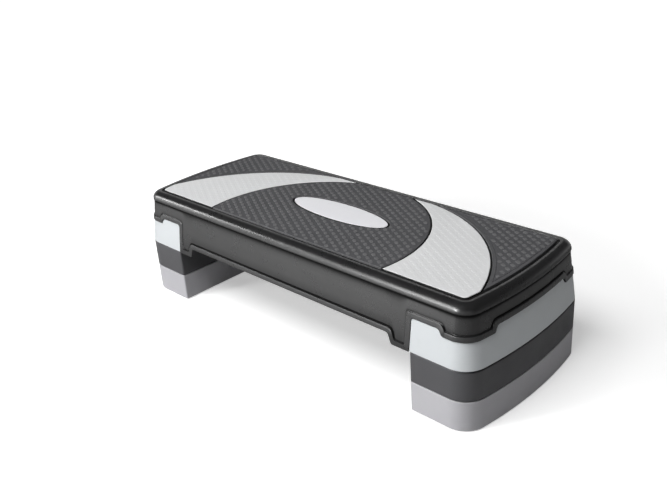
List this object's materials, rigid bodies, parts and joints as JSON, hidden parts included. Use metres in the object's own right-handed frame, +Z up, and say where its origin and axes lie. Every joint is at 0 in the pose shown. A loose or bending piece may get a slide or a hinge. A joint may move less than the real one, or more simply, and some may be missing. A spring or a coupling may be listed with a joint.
{
  "type": "aerobic step platform",
  "caption": "Long moulded exercise step with textured deck inlays, fixed end feet and stacking risers that lift off to change its height.",
  "frame": {"origin": "centre of the footprint on the floor, under the pads of the lower risers", "axes": "+X along the platform, +Y across it towards the back, +Z up"},
  "size_m": [0.78, 0.3, 0.199],
  "materials": {
    "shell_plastic": "black moulded plastic, satin, slightly shiny on the rim",
    "deck_rubber": "dark grey textured rubber",
    "crescent_rubber": "light grey textured rubber",
    "plate_plastic": "light grey smooth plastic",
    "foot_plastic": "light grey moulded plastic",
    "middle_plastic": "dark grey moulded plastic",
    "lower_plastic": "mid grey moulded plastic",
    "screw_steel": "plain zinc-plated steel",
    "pad_rubber": "black rubber"
  },
  "bodies": {
    "lower_left": {"lower_riser_left": "lower_plastic", "lower_riser_pads_left": "pad_rubber"},
    "middle_left": {"middle_riser_left": "middle_plastic", "middle_riser_pads_left": "pad_rubber"},
    "platform": {"platform_shell": "shell_plastic", "deck_mat_centre": "deck_rubber", "deck_mat_left": "deck_rubber", "deck_mat_right": "deck_rubber", "crescent_left": "crescent_rubber", "crescent_right": "crescent_rubber", "centre_plate": "plate_plastic", "upper_foot_left": "foot_plastic", "upper_foot_right": "foot_plastic", "upper_foot_screws_left": "screw_steel", "upper_foot_screws_right": "screw_steel", "upper_foot_pads_left": "pad_rubber", "upper_foot_pads_right": "pad_rubber"},
    "middle_right": {"middle_riser_right": "middle_plastic", "middle_riser_pads_right": "pad_rubber"},
    "lower_right": {"lower_riser_right": "lower_plastic", "lower_riser_pads_right": "pad_rubber"}
  },
  "joints": [
    {"name": "middle_riser_lift", "type": "slide", "parent": "lower_left", "child": "middle_left", "axis": [0, 0, 1], "range_m": [0, 0.06]},
    {"name": "platform_lift", "type": "slide", "parent": "middle_left", "child": "platform", "axis": [0, 0, 1], "range_m": [0, 0.06]},
    {"name": "middle_riser_drop", "type": "slide", "parent": "platform", "child": "middle_right", "axis": [0, 0, -1], "range_m": [0, 0.06]},
    {"name": "lower_riser_drop", "type": "slide", "parent": "middle_right", "child": "lower_right", "axis": [0, 0, -1], "range_m": [0, 0.06]}
  ],
  "couplings": [
    {"joint": "middle_riser_drop", "follows": "platform_lift", "ratio": 1},
    {"joint": "lower_riser_drop", "follows": "middle_riser_lift", "ratio": 1}
  ]
}
